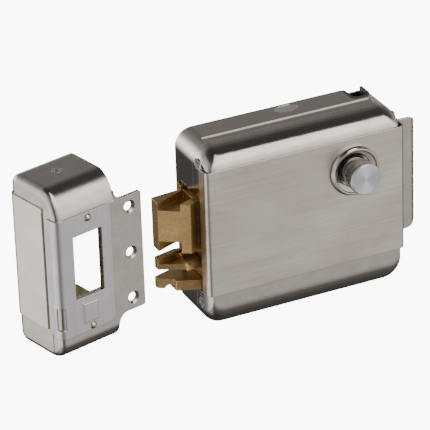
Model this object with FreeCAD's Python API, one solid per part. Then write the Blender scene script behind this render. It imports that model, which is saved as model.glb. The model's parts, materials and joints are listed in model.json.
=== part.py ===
import FreeCAD, Part
import math
import os

# Electric rim lock and its strike (keeper).
# Millimetres.  The origin is the centre of the lock's mounting face: +X to the right as seen
# from the room, +Y into the door, +Z up.  Bolts shoot towards -X, into the strike.

V = FreeCAD.Vector
QUARTER = 4 * (math.sqrt(2) - 1) / 3     # handle length of a quarter ellipse
X_AXIS = V(1, 0, 0)
Y_AXIS = V(0, 1, 0)
Z_AXIS = V(0, 0, 1)

# ---- lock case ----
CASE_W = 118.0
CASE_H = 105.0
CASE_D = 38.0
HALF_W = CASE_W / 2
HALF_H = CASE_H / 2
CORNER_R = 10.0
REAR_WALL = 1.2
COVER_WALL = 1.0
SEAM_Y = -22.0              # where the front cover meets the rear case
COVER_ROUND_D = 12.0        # depth over which the cover's edges are rounded
COVER_TOP_ROUND = 10.5
COVER_BOTTOM_ROUND = 14.0
COVER_SIDE_ROUND = 2.5
COVER_CORNER_TIGHTER = 4.5  # how much tighter the front's corners are than the seam's
STEP_DEPTH = 0.6            # shallow step pressed along the top of the rear case
STEP_W = 6.5
STEP_HALF_LEN = 50.5

# ---- brushed front plate ----
PLATE_T = 0.8
PLATE_Z0 = -31.0
PLATE_Z1 = 43.0
PLATE_LIP_Y = -31.0
PLATE_BEND_R = 3.0

# ---- bolt window in the left side ----
WINDOW_Y0 = -31.8
WINDOW_Y1 = -3.0
WINDOW_Z0 = -32.4
WINDOW_Z1 = 24.5

# ---- cable notch in the top ----
NOTCH_X0 = 41.5
NOTCH_X1 = 53.5
NOTCH_D = 13.5
NOTCH_R = 4.5
NOTCH_DROP = 2.6            # how far the notch lowers the rear wall
GROMMET_WALL = 1.4
GROMMET_LEN = 5.0
GROMMET_RISE = 0.3

# ---- lock fixing ----
FIX_X = 50.0
FIX_Z = 37.0
FIX_HOLE_R = 2.5
SCREW_Y = -27.0             # side screws of the front cover
SCREW_TOP_Z = 44.5
SCREW_BOTTOM_Z = -39.0
SCREW_HEAD_R = 3.0
SCREW_R = 1.5
SCREW_LEN = 7.0
SCREW_SET_IN = 0.25         # head below the side of the case
LUG_T = 1.5
LUG_HALF = 4.0
LUG_OUTER_HALF = 2.2        # lug's height on the side of the case's rounded corner
LUG_FOOT = 6.0
SIDE_SLOT_Z = -34.6         # small slot in the left side
SIDE_SLOT_LEN = 3.2
SIDE_SLOT_H = 0.9
BADGE_X = 5.0               # blank oval sunk in the top
BADGE_Y = -5.6
BADGE_HALF_LEN = 7.0
BADGE_HALF_W = 4.2
BADGE_DEPTH = 0.25
LUG_INSET = 2.6             # gap the screw lugs leave for the cover's wall

# ---- bolts ----
TIP_X = -79.0
LATCH_Z0 = -7.0
LATCH_Z1 = 22.0
LATCH_END_X = -52.0
LATCH_REAR_Y = -9.6
LATCH_TIP_Y = -18.6
LATCH_NOSE_X = -64.7
LATCH_NOSE_Y = -29.3
TOP_SLOT = 4.2
BOTTOM_SLOT = 6.3
TAIL_Y0 = -13.5
TAIL_T = 3.0
TAIL_Z0 = 2.0
TAIL_Z1 = 12.0
TAIL_LUG_X = 23.2
TONGUE_END_X = -50.0
ROD_Y = -19.0
ROD_R = 2.0
ROD_END_X = -14.0
TRIGGER_Z0 = -19.3
TRIGGER_TOP_Z = -13.0
TRIGGER_R = 8.0
TRIGGER_ROD_Z = -16.5
TRIGGER_Y = -17.0
TRIGGER_REAR_Y = -9.0
TRIGGER_SHANK_X = -66.0
TRIGGER_WEDGE_H = 3.1
COCKING_Z0 = -31.3
COCKING_Z1 = -25.5
COCKING_ROD_Z = -28.4
COCKING_FRONT_Y = -27.3
COCKING_REAR_Y = -8.2
COCKING_SOFT_R = 1.2
PIN_R = 1.5
LATCH_PIN_Z = (4.5, 9.5)
LATCH_PIN_Y = -17.6
LATCH_PIN_LEN = 8.0
LATCH_SPRING_Y = -20.5
LATCH_SPRING_Z = 7.0
SPRING_ROD_R = 1.8
SPRING_ROD_LEN = 20.0
GUIDE_X0 = -HALF_W + 1.6
GUIDE_T = 3.0
BRACKET_X = -20.0
BRACKET_T = 1.6
BRACKET_RIVET_DX = 7.0
BRACKET_RIVET_R = 1.5
BRACKET_RIVET_Z = (-28.0, -2.0, 14.0)
MECH_PLATE_Y0 = -3.2
RUN = 0.08                  # radial running clearance
SLIP = 0.3                  # clearance of flat guided faces

# ---- solenoid and pawl ----
SOL_X0 = 12.0
SOL_X1 = 46.0
SOL_Y = -18.0
SOL_Z = -39.0
SOL_HALF = 11.0
SOL_FRAME_T = 1.5
SOL_SCREW_R = 1.5
SOL_SCREW_INSET = 7.0
COIL_R = 9.0
PLUNGER_R = 4.0
PLUNGER_X0 = -8.0
PLUNGER_LEN = 37.5
PLUNGER_FLANGE_X = 1.3
PAWL_X = -4.0
PAWL_Z = -12.0
PAWL_T = 3.0
PAWL_PIN_R = 2.0

# ---- knob ----
KNOB_X = 28.5
KNOB_Z = 24.2
ROSETTE_R = 14.5
ROSETTE_H = 3.0
ROSETTE_FLOOR = 1.0
KNOB_R = 8.9
KNOB_REAR_Y = -43.6
BARREL_FRONT_Y = -50.2
CAP_FRONT_Y = -52.8
SPINDLE_R = 3.0
BUSH_R = 6.5
BUSH_RIM_H = 0.8
KNURL_TEETH = 44
KNURL_DEPTH = 0.5
KNOB_FACE_T = 2.6            # solid front of the barrel
ARM_LEN = 16.0              # lever arm of the knob's cam and of the rotor
ARM_REST = 35.0             # degrees from straight down, towards the bolts, at rest
ARM_T = 3.0
ARM_NOSE_R = 3.0
ROTOR_R = 9.0
ROTOR_Y0 = -5.0
TAIL_SLOT_HALF_W = 1.4
TAIL_SLOT_HALF_LEN = 5.5
CAM_Y0 = -17.2
ROTOR_ARM_Y0 = -8.6

# ---- finger pull ----
PULL_Z0 = -26.5
PULL_Z1 = 41.8
PULL_REACH = 14.0
PULL_T = 1.3
PULL_NEAR_BEND = 3.0
PULL_FAR_BEND = 6.0
PULL_REAR_Y = -5.0
PULL_FRONT_Y = -28.0
PULL_LIP = 6.6
PULL_LOW_ROUND = 9.0
PULL_HIGH_ROUND = 2.0
PULL_RIVET_Y = -10.0
PULL_RIVET_INSET = 12.0
PULL_RIVET_R = 1.6
SHEET_GAP = 0.05            # gap behind a sheet laid on another
FIT_GAP = 0.02              # gap round a sheet pressed onto the case

# ---- cross recess of the screws, as shares of the head's radius and depth ----
CROSS_ARM = 0.62
CROSS_HALF = 0.13
CROSS_DEPTH = 0.7

# ---- strike, in its own axes: x from the cover to the jamb face, y away from the bolts ----
STRIKE_X = -142.4
STRIKE_Y = -31.4
STRIKE_TURN = 14.4
BOX_W = 38.5
BOX_D = 39.0
BOX_H = 100.0
BOX_WALL = 1.2
BOX_CORNER = 4.0
TOP_ROUND_H = 19.0
BOTTOM_ROUND_H = 11.0
FRONT_ROUND = 12.5
FAR_ROUND = 6.0
FLANGE_X1 = 56.5
FLANGE_T = 2.0
FLANGE_Z0 = 15.5
FLANGE_Z1 = 84.0
FLANGE_FILLET = 6.0
STRIKE_HOLE_X = 48.5
STRIKE_HOLE_Z = 49.7
STRIKE_HOLE_STEP = 27.3
STRIKE_HOLE_R = 2.6
STRIKE_SINK_R = 3.75
MOUTH_X0 = 9.8
MOUTH_X1 = 28.9
MOUTH_Z0 = 35.4
MOUTH_Z1 = 72.6
LINER_T = 0.8
LINER_FACE_Y = -LINER_T - FIT_GAP
LINER_X1 = 35.3
LINER_Z0 = 14.5
LINER_Z1 = 84.5
LINER_LIP = 9.5
LINER_ROUND = 4.0
BEND_RECESS = 3.2           # oblong recess in the liner's bend
BEND_RECESS_Z0 = 19.5
BEND_RECESS_Z1 = 33.0
PAD_X0 = 14.0               # raised pad below the mouth
PAD_X1 = 24.0
PAD_Z0 = 19.8
PAD_Z1 = 32.0
PAD_RISE = 0.9
KEEPER_T = 1.5
KEEPER_FLOOR_Z = 20.0
KEEPER_ROOF_Z = 80.0
COVER_Z0 = 17.0
COVER_Z1 = 88.7
COVER_Y0 = 11.5
COVER_RETURN = 9.0          # cover plate's fold on the far face
RIVET_X = 20.0
RIVET_Z = (17.0, 81.3)
RIVET_R = 1.5
RIVET_DOME_R = 2.4
CAP_SCREW_X = 20.0
CAP_SCREW_Y = 23.5
CAP_SCREW_R = 1.4
CAP_SEAM_Y = 8.0            # seam in the bottom of the strike's box
CAP_SEAM_W = 0.5


# ---------------------------------------------------------------- helpers
def box(x0, x1, y0, y1, z0, z1):
    return Part.makeBox(x1 - x0, y1 - y0, z1 - z0, V(x0, y0, z0))


def rod(axis, start, radius, length):
    return Part.makeCylinder(radius, length, start, axis)


def tube(axis, start, outer, inner, length):
    return rod(axis, start, outer, length).cut(rod(axis, start, inner, length))


def polygon_wire(points):
    return Part.makePolygon(points + [points[0]])


def prism(points, direction):
    return Part.Face(polygon_wire(points)).extrude(direction)


def plan_prism(outline, z0, z1):
    """Solid with a plan outline of (x, y) points, from z0 up to z1."""
    return prism([V(x, y, z0) for x, y in outline], V(0, 0, z1 - z0))


def fuse(shapes):
    whole = shapes[0]
    for shape in shapes[1:]:
        whole = whole.fuse(shape)
    return whole.removeSplitter()


def cut(shape, tools):
    for tool in tools:
        shape = shape.cut(tool)
    return shape


def helix_spring(axis_start, direction, length, mean_r, wire_r, turns):
    """Open coil spring whose wire stays between its two end planes."""
    pitch = (length - 2 * wire_r) / turns
    path = Part.makeHelix(pitch, pitch * turns, mean_r)
    section = Part.Wire(Part.makeCircle(wire_r, V(mean_r, 0, 0), Y_AXIS))
    coil = Part.Wire(path.Edges).makePipeShell([section], True, True)
    coil.translate(V(0, 0, wire_r))
    turn = FreeCAD.Rotation(Z_AXIS, direction)
    coil.Placement = FreeCAD.Placement(axis_start, turn).multiply(coil.Placement)
    return coil


def rounded_outline_xz(x0, x1, z0, z1, radius, y):
    """Rounded rectangle in a plane of constant y."""
    bend = radius * (1 - math.sqrt(0.5))
    corners = [
        (V(x1 - radius, y, z0), V(x1 - bend, y, z0 + bend), V(x1, y, z0 + radius)),
        (V(x1, y, z1 - radius), V(x1 - bend, y, z1 - bend), V(x1 - radius, y, z1)),
        (V(x0 + radius, y, z1), V(x0 + bend, y, z1 - bend), V(x0, y, z1 - radius)),
        (V(x0, y, z0 + radius), V(x0 + bend, y, z0 + bend), V(x0 + radius, y, z0)),
    ]
    edges = []
    for index, (start, middle, end) in enumerate(corners):
        edges.append(Part.Arc(start, middle, end).toShape())
        following = corners[(index + 1) % len(corners)][0]
        edges.append(Part.LineSegment(end, following).toShape())
    return Part.Wire(edges)


def offset_points(points, distance):
    """Plan polyline moved to its left by distance."""
    normals = []
    for (xa, ya), (xb, yb) in zip(points, points[1:]):
        length = math.hypot(xb - xa, yb - ya)
        normals.append(((ya - yb) / length, (xb - xa) / length))
    moved = []
    for index, (x, y) in enumerate(points):
        before = normals[max(index - 1, 0)]
        after = normals[min(index, len(normals) - 1)]
        scale = distance / (1 + before[0] * after[0] + before[1] * after[1])
        moved.append((x + (before[0] + after[0]) * scale, y + (before[1] + after[1]) * scale))
    return moved


def bent_edges(points, radii, z):
    """Edges along a plan polyline whose inner corners are rounded."""
    places = [V(x, y, z) for x, y in points]
    start = places[0]
    edges = []
    for corner, following, radius in zip(places[1:-1], places[2:], radii):
        way_back = (start - corner).normalize()
        way_on = (following - corner).normalize()
        half = way_back.getAngle(way_on) / 2
        first = corner + way_back * (radius / math.tan(half))
        last = corner + way_on * (radius / math.tan(half))
        middle = corner + (way_back + way_on).normalize() * (radius / math.sin(half) - radius)
        edges.append(Part.LineSegment(start, first).toShape())
        edges.append(Part.Arc(first, middle, last).toShape())
        start = last
    edges.append(Part.LineSegment(start, places[-1]).toShape())
    return edges


def closed_face(edges):
    return Part.Face(Part.Wire(Part.__sortEdges__(edges)))


def bent_sheet(points, radii, thickness, z0, z1):
    """Sheet folded along a plan polyline; its thickness lies to the left of the line."""
    far_radii = []
    for (xa, ya), (xb, yb), (xc, yc), radius in zip(points, points[1:], points[2:], radii):
        turns_left = (xb - xa) * (yc - yb) > (yb - ya) * (xc - xb)
        far_radii.append(radius - thickness if turns_left else radius + thickness)
    far_points = offset_points(points, thickness)
    edges = bent_edges(points, radii, z0) + bent_edges(far_points, far_radii, z0)
    for near, far in ((points[0], far_points[0]), (points[-1], far_points[-1])):
        edges.append(Part.LineSegment(V(near[0], near[1], z0), V(far[0], far[1], z0)).toShape())
    return closed_face(edges).extrude(V(0, 0, z1 - z0))


def corner_piece(x, z, way_x, way_z, radius, y0, y1, over=0.0):
    """What a round leaves over in the corner at (x, z); way_x and way_z point to its centre."""
    low_x, high_x = sorted((x - way_x * over, x + way_x * radius))
    low_z, high_z = sorted((z - way_z * over, z + way_z * radius))
    centre = V(x + way_x * radius, y0 - 1, z + way_z * radius)
    return box(low_x, high_x, y0, y1, low_z, high_z).cut(rod(Y_AXIS, centre, radius, y1 - y0 + 2))


def quarter_curve(start, corner, end):
    """Quarter ellipse from start to end, tangent to the two lines that meet at corner."""
    curve = Part.BezierCurve()
    curve.setPoles([start, start + (corner - start) * QUARTER, end + (corner - end) * QUARTER, end])
    return curve.toShape()


def round_profile(x, front, rear, low, high, low_round, high_round, rear_round=0.0):
    """Side profile at x: rounds given as (depth, height) at the front, a radius at the rear."""
    places = [
        (V(x, front, low + low_round[1]), V(x, front, low), V(x, front + low_round[0], low)),
        (V(x, rear - rear_round, low), V(x, rear, low), V(x, rear, low + rear_round)),
        (V(x, rear, high - rear_round), V(x, rear, high), V(x, rear - rear_round, high)),
        (V(x, front + high_round[0], high), V(x, front, high), V(x, front, high - high_round[1])),
    ]
    edges = []
    for index, (start, corner, end) in enumerate(places):
        if start != end:
            edges.append(quarter_curve(start, corner, end))
        following = places[(index + 1) % len(places)][0]
        edges.append(Part.LineSegment(end, following).toShape())
    return Part.Wire(edges)


def cross_screw(head_centre, direction, head_r, shank_r, length):
    """Countersunk screw with a cross recess; direction points from the head into the work."""
    sink = head_r - shank_r
    head = Part.makeCone(head_r, shank_r, sink, V(0, 0, 0), Z_AXIS)
    screw = head.fuse(rod(Z_AXIS, V(0, 0, sink), shank_r, length - sink))
    arm = head_r * CROSS_ARM
    half = head_r * CROSS_HALF
    depth = sink * CROSS_DEPTH
    screw = cut(screw, [box(-arm, arm, -half, half, 0, depth), box(-half, half, -arm, arm, 0, depth)])
    screw.Placement = FreeCAD.Placement(head_centre, FreeCAD.Rotation(Z_AXIS, direction))
    return screw


def screw_hole(head_centre, direction, head_r, shank_r, length):
    sink = head_r - shank_r
    hole = Part.makeCone(head_r, shank_r, sink, V(0, 0, 0), Z_AXIS)
    hole = hole.fuse(rod(Z_AXIS, V(0, 0, 0), shank_r, length))
    hole = hole.fuse(rod(Z_AXIS, V(0, 0, -1), head_r, 1))
    hole.Placement = FreeCAD.Placement(head_centre, FreeCAD.Rotation(Z_AXIS, direction))
    return hole


def side_screws():
    """Head centre and inward direction of the four cover screws."""
    return [(V(side * (HALF_W - SCREW_SET_IN), SCREW_Y, z), V(-side, 0, 0))
            for side in (-1, 1) for z in (SCREW_TOP_Z, SCREW_BOTTOM_Z)]


# ---------------------------------------------------------------- lock: shells
def cover_solid(inset):
    """Front cover's body, shrunk by inset on the outside; its edges blend into the front."""
    steps = 6
    sections = []
    for index in range(steps + 1):
        turn = math.radians(90.0 * index / steps)
        rise = 1 - math.cos(turn)
        sections.append(rounded_outline_xz(
            -HALF_W + inset + COVER_SIDE_ROUND * rise,
            HALF_W - inset - COVER_SIDE_ROUND * rise,
            -HALF_H + inset + COVER_BOTTOM_ROUND * rise,
            HALF_H - inset - COVER_TOP_ROUND * rise,
            CORNER_R - inset - COVER_CORNER_TIGHTER * rise,
            -CASE_D + inset + COVER_ROUND_D * (1 - math.sin(turn))))
    nose = Part.makeLoft(sections, True, False)
    rear = SEAM_Y + inset
    root = rounded_outline_xz(-HALF_W + inset, HALF_W - inset, -HALF_H + inset, HALF_H - inset,
                              CORNER_R - inset, rear)
    skirt = Part.Face(root).extrude(V(0, -CASE_D + inset + COVER_ROUND_D - rear, 0))
    return nose.fuse(skirt)


def bolt_window():
    return box(-HALF_W - 2, GUIDE_X0, WINDOW_Y0, WINDOW_Y1, WINDOW_Z0, WINDOW_Z1)


def front_cover():
    shell = cover_solid(0).cut(cover_solid(COVER_WALL))
    shell = shell.cut(bolt_window())
    shell = shell.cut(rod(Y_AXIS, V(KNOB_X, -CASE_D - 1, KNOB_Z), BUSH_R + 0.1, 4))
    holes = [screw_hole(at, way, SCREW_HEAD_R, SCREW_R + 0.1, 4) for at, way in side_screws()]
    slot = box(-HALF_W - 1, -HALF_W + 2, SCREW_Y - SIDE_SLOT_LEN / 2, SCREW_Y + SIDE_SLOT_LEN / 2,
               SIDE_SLOT_Z, SIDE_SLOT_Z + SIDE_SLOT_H)
    return cut(shell, holes + [slot])


def notch_block(inset, rear, z0, z1):
    """Cable notch's plan outline, open to the rear and rounded in front, as a block."""
    x0 = NOTCH_X0 + inset
    x1 = NOTCH_X1 - inset
    front = -NOTCH_D + inset
    path = [(x0, rear), (x0, front), (x1, front), (x1, rear)]
    edges = bent_edges(path, [NOTCH_R - inset, NOTCH_R - inset], z0)
    edges.append(Part.LineSegment(V(x1, rear, z0), V(x0, rear, z0)).toShape())
    return closed_face(edges).extrude(V(0, 0, z1 - z0))


def screw_lug(side, z, low, high):
    """Tab of the rear case that a side screw of the cover threads into."""
    outer = HALF_W - LUG_INSET
    lug = box(-outer, -outer + LUG_T, SCREW_Y - LUG_HALF, SEAM_Y + LUG_FOOT, z + low, z + high)
    foot = box(-HALF_W + REAR_WALL, -outer, SEAM_Y, SEAM_Y + LUG_FOOT, z + low, z + high)
    tab = lug.fuse(foot)
    return tab.mirror(V(0, 0, 0), X_AXIS) if side > 0 else tab


def top_badge():
    badge = rod(Z_AXIS, V(0, 0, 0), BADGE_HALF_W, 1)
    stretch = FreeCAD.Matrix()
    stretch.scale(BADGE_HALF_LEN / BADGE_HALF_W, 1, 1)
    badge = badge.transformGeometry(stretch)
    badge.translate(V(BADGE_X, BADGE_Y, HALF_H - BADGE_DEPTH))
    return badge


def rear_case():
    outer = Part.Face(rounded_outline_xz(-HALF_W, HALF_W, -HALF_H, HALF_H, CORNER_R, SEAM_Y))
    inner = Part.Face(rounded_outline_xz(
        -HALF_W + REAR_WALL, HALF_W - REAR_WALL, -HALF_H + REAR_WALL, HALF_H - REAR_WALL,
        CORNER_R - REAR_WALL, SEAM_Y))
    shell = outer.extrude(V(0, -SEAM_Y, 0)).cut(inner.extrude(V(0, -SEAM_Y - REAR_WALL, 0)))
    for side in (-1, 1):
        shell = shell.fuse(screw_lug(side, SCREW_TOP_Z, -LUG_HALF, LUG_OUTER_HALF))
        shell = shell.fuse(screw_lug(side, SCREW_BOTTOM_Z, -LUG_HALF, LUG_OUTER_HALF))
    shell = cut(shell, [screw_hole(at, way, SCREW_HEAD_R, SCREW_R, SCREW_LEN)
                        for at, way in side_screws()])
    notch = notch_block(0.0, 1.0, HALF_H - NOTCH_DROP, HALF_H + 1)
    step = box(-STEP_HALF_LEN, STEP_HALF_LEN, SEAM_Y - 1, SEAM_Y + STEP_W,
               HALF_H - STEP_DEPTH, HALF_H + 1)
    holes = [rod(Y_AXIS, V(sx * FIX_X, -3, sz * FIX_Z), FIX_HOLE_R, 4)
             for sx in (-1, 1) for sz in (-1, 1)]
    rotor_hole = rod(Y_AXIS, V(KNOB_X, -3, KNOB_Z), ROTOR_R + RUN, 4)
    return cut(shell, [bolt_window(), notch, top_badge(), step, rotor_hole] + holes)


def brushed_plate():
    """Front plate with both ends folded back over the sides of the case."""
    side = HALF_W + PLATE_T
    front = -CASE_D - PLATE_T
    path = [(-side, PLATE_LIP_Y), (-side, front), (side, front), (side, PLATE_LIP_Y)]
    plate = bent_sheet(path, [PLATE_BEND_R, PLATE_BEND_R], PLATE_T, PLATE_Z0, PLATE_Z1)
    return plate.cut(rod(Y_AXIS, V(KNOB_X, front - 1, KNOB_Z), BUSH_R + 0.1, 4))


def cover_screws():
    return [cross_screw(at, way, SCREW_HEAD_R - SHEET_GAP, SCREW_R, SCREW_LEN)
            for at, way in side_screws()]


def pull_rivet_heights():
    return (PULL_Z0 + PULL_RIVET_INSET, PULL_Z1 - PULL_RIVET_INSET)


def finger_pull():
    """Hooked strip: a leg on the case's right side, a front web and a short lip turned back."""
    near = HALF_W + SHEET_GAP
    far = HALF_W + PULL_REACH
    path = [(near, PULL_REAR_Y), (near, PULL_FRONT_Y), (far, PULL_FRONT_Y),
            (far, PULL_FRONT_Y + PULL_LIP)]
    hook = bent_sheet(path, [PULL_NEAR_BEND, PULL_FAR_BEND], PULL_T, PULL_Z0, PULL_Z1)
    front = PULL_FRONT_Y - 1
    corners = [corner_piece(far, PULL_Z0, -1, 1, PULL_LOW_ROUND, front, 0, 1),
               corner_piece(far, PULL_Z1, -1, -1, PULL_HIGH_ROUND, front, 0, 1)]
    holes = [rod(X_AXIS, V(HALF_W - 1, PULL_RIVET_Y, z), PULL_RIVET_R, 4) for z in pull_rivet_heights()]
    return cut(hook, corners + holes)


def pull_rivets():
    dome_r = 3.0
    seat = HALF_W + SHEET_GAP + PULL_T
    rivets = []
    for z in pull_rivet_heights():
        shank = rod(X_AXIS, V(HALF_W + SHEET_GAP, PULL_RIVET_Y, z), PULL_RIVET_R, PULL_T)
        dome = Part.makeSphere(dome_r, V(seat - dome_r * 0.3, PULL_RIVET_Y, z))
        dome = dome.common(box(seat, seat + dome_r, PULL_RIVET_Y - dome_r, PULL_RIVET_Y + dome_r,
                               z - dome_r, z + dome_r))
        rivets.append(shank.fuse(dome).removeSplitter())
    return rivets


def cable_grommet():
    """Rubber edge lining the cable notch."""
    block = notch_block(FIT_GAP, -REAR_WALL, HALF_H - GROMMET_LEN, HALF_H + GROMMET_RISE)
    return block.cut(notch_block(GROMMET_WALL, 1.0, HALF_H - GROMMET_LEN - 1, HALF_H + 1))


# ---------------------------------------------------------------- lock: bolts
def slot_tool(z0, z1):
    """Slanted channel milled across the latch, leaving the rear ear standing."""
    slope = 0.42
    reach = 22.0
    rear_start = (TIP_X - 3, LATCH_TIP_Y - 3 * slope)
    rear_end = (TIP_X - 3 + reach, LATCH_TIP_Y + (reach - 3) * slope)
    gap = 11.7
    front_start = (rear_start[0], rear_start[1] - gap)
    front_end = (rear_end[0], rear_end[1] - gap)
    return plan_prism([rear_start, rear_end, front_end, front_start], z0, z1)


def latch_pin_holes(start, length):
    return [rod(Y_AXIS, V(LATCH_END_X - 4, start, z), PIN_R, length) for z in LATCH_PIN_Z]


def latch_bolt():
    outline = [(TIP_X, -11.0), (TIP_X, LATCH_TIP_Y), (LATCH_NOSE_X, LATCH_NOSE_Y),
               (-60.0, -27.0), (LATCH_END_X, -27.0), (LATCH_END_X, LATCH_REAR_Y),
               (-64.0, LATCH_REAR_Y)]
    head = plan_prism(outline, LATCH_Z0, LATCH_Z1)
    pocket = box(LATCH_END_X - 8, LATCH_END_X + 1, TAIL_Y0, TAIL_Y0 + TAIL_T, TAIL_Z0, TAIL_Z1)
    rod_hole = rod(X_AXIS, V(LATCH_END_X - 7, LATCH_SPRING_Y, LATCH_SPRING_Z), SPRING_ROD_R + 0.4, 8)
    return cut(head, [slot_tool(LATCH_Z1 - TOP_SLOT, LATCH_Z1 + 1),
                      slot_tool(LATCH_Z0 - 1, LATCH_Z0 + BOTTOM_SLOT),
                      pocket, rod_hole] + latch_pin_holes(LATCH_PIN_Y, LATCH_PIN_LEN + 1))


def latch_tail():
    """Flat bar behind the latch; its cross lug is pushed by the knob's cam or the rotor's arm."""
    tail = box(LATCH_END_X - 8, TAIL_LUG_X + 3, TAIL_Y0, TAIL_Y0 + TAIL_T, TAIL_Z0, TAIL_Z1)
    lug = box(TAIL_LUG_X, TAIL_LUG_X + 3, CAM_Y0, ROTOR_ARM_Y0 + ARM_T, TAIL_Z0, TAIL_Z1)
    notch = box(PAWL_X - 5, PAWL_X + 3, TAIL_Y0 - 1, TAIL_Y0 + TAIL_T + 1, TAIL_Z0 - 1, TAIL_Z0 + 2.5)
    return cut(tail.fuse(lug).removeSplitter(), [notch] + latch_pin_holes(TAIL_Y0 - 1, TAIL_T + 2))


def latch_pins():
    return latch_pin_holes(LATCH_PIN_Y, LATCH_PIN_LEN)


def latch_spring():
    start = V(LATCH_END_X, LATCH_SPRING_Y, LATCH_SPRING_Z)
    return helix_spring(start, X_AXIS, BRACKET_X - LATCH_END_X, 3.8, 0.6, 8)


def latch_spring_rod():
    start = V(BRACKET_X - SPRING_ROD_LEN, LATCH_SPRING_Y, LATCH_SPRING_Z)
    return rod(X_AXIS, start, SPRING_ROD_R, SPRING_ROD_LEN + BRACKET_T)


def trigger_tongue():
    """Middle tongue: half-round shank, slanted wedge and a thin ear along its rear edge."""
    shank = rod(X_AXIS, V(TRIGGER_SHANK_X, TRIGGER_Y, TRIGGER_TOP_Z - TRIGGER_R), TRIGGER_R,
                TONGUE_END_X - TRIGGER_SHANK_X)
    shank = shank.common(box(TIP_X, 0, -CASE_D, 0, TRIGGER_Z0, 0))
    tip = [(TIP_X, -12.0), (TIP_X, -16.0)]
    wedge = plan_prism(tip + [(-63.0, -24.6), (-63.0, -9.4), (-66.5, TRIGGER_REAR_Y)],
                       TRIGGER_Z0, TRIGGER_Z0 + TRIGGER_WEDGE_H)
    ear = plan_prism(tip + [(-62.5, -11.6), (-62.5, -9.6), (-66.5, TRIGGER_REAR_Y)],
                     TRIGGER_Z0, TRIGGER_TOP_Z)
    return fuse([shank, wedge, ear])


def cocking_tongue():
    """Lower tongue: pointed front, stepped shoulder with a soft corner, relieved underneath."""
    outline = [(TIP_X, -11.2), (TIP_X, -14.6), (-71.5, -19.2), (-71.5, -22.0), (-59.0, COCKING_FRONT_Y),
               (TONGUE_END_X, COCKING_FRONT_Y), (TONGUE_END_X, COCKING_REAR_Y), (-69.5, COCKING_REAR_Y)]
    tongue = plan_prism(outline, COCKING_Z0, COCKING_Z1)
    tongue = tongue.makeFillet(COCKING_SOFT_R, [edge for edge in tongue.Edges
                                                if upright_at(edge, -71.5, -22.0)])
    relief = rod(Y_AXIS, V(-72.6, -CASE_D, COCKING_Z0 - 0.4), 2.9, CASE_D)
    return tongue.cut(relief.common(box(TIP_X, -71.5, -CASE_D, 0, -CASE_D, 0)))


def upright_at(edge, x, y):
    """Whether an edge stands upright at the plan point (x, y)."""
    return all(abs(vertex.X - x) < 0.01 and abs(vertex.Y - y) < 0.01 for vertex in edge.Vertexes)


def tongue_rod(z):
    return rod(X_AXIS, V(TONGUE_END_X, ROD_Y, z), ROD_R, ROD_END_X - TONGUE_END_X)


def rod_clip(z):
    return tube(X_AXIS, V(BRACKET_X + BRACKET_T + 0.4, ROD_Y, z), 3.2, ROD_R, 1.2)


def tongue_spring(z):
    return helix_spring(V(TONGUE_END_X, ROD_Y, z), X_AXIS, BRACKET_X - TONGUE_END_X, 3.0, 0.4, 10)


def bolt_guide():
    """Brass plate behind the window whose openings guide the three bolts."""
    plate = box(GUIDE_X0, GUIDE_X0 + GUIDE_T, -32.0, -3.4, -36.4, 28.0)
    lug = box(-HALF_W - 1.6, GUIDE_X0, -9.0, -3.4, 18.5, 23.5)
    lug_slot = box(-HALF_W - 2, -HALF_W + 0.4, -7.2, -6.2, 20.0, 24.0)
    passages = [(LATCH_NOSE_Y, LATCH_REAR_Y, LATCH_Z0, LATCH_Z1),
                (TRIGGER_Y - TRIGGER_R, TRIGGER_REAR_Y, TRIGGER_Z0, TRIGGER_TOP_Z),
                (COCKING_FRONT_Y, COCKING_REAR_Y, COCKING_Z0, COCKING_Z1)]
    openings = [box(GUIDE_X0 - 1, GUIDE_X0 + GUIDE_T + 1, y0 - SLIP, y1 + SLIP, z0 - SLIP, z1 + SLIP)
                for y0, y1, z0, z1 in passages]
    return cut(plate.fuse(lug), [lug_slot] + openings)


def bracket_rivet_holes():
    return [rod(Y_AXIS, V(BRACKET_X + BRACKET_RIVET_DX, -6, z), BRACKET_RIVET_R, 6)
            for z in BRACKET_RIVET_Z]


def spring_bracket():
    """Angle standing on the mechanism plate; it carries the springs and the tongue rods."""
    foot_y = MECH_PLATE_Y0
    web = box(BRACKET_X, BRACKET_X + BRACKET_T, -30.0, foot_y, -36.0, 18.0)
    foot = box(BRACKET_X, BRACKET_X + 12, foot_y - BRACKET_T, foot_y, -36.0, 18.0)
    tail_slot = box(BRACKET_X - 1, BRACKET_X + BRACKET_T + 1, TAIL_Y0 - SLIP, TAIL_Y0 + TAIL_T + SLIP,
                    TAIL_Z0 - SLIP, TAIL_Z1 + SLIP)
    holes = [rod(X_AXIS, V(BRACKET_X - 1, ROD_Y, z), ROD_R + RUN, 4)
             for z in (TRIGGER_ROD_Z, COCKING_ROD_Z)]
    rod_hole = rod(X_AXIS, V(BRACKET_X - 1, LATCH_SPRING_Y, LATCH_SPRING_Z), SPRING_ROD_R, 4)
    return cut(web.fuse(foot).removeSplitter(), [tail_slot, rod_hole] + holes + bracket_rivet_holes())


def bracket_rivets():
    head_h = 1.0
    seat = MECH_PLATE_Y0 - BRACKET_T
    return [fuse([rod(Y_AXIS, V(BRACKET_X + BRACKET_RIVET_DX, seat, z), BRACKET_RIVET_R, 3.6),
                  rod(Y_AXIS, V(BRACKET_X + BRACKET_RIVET_DX, seat - head_h, z), 2.6, head_h)])
            for z in BRACKET_RIVET_Z]


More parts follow.
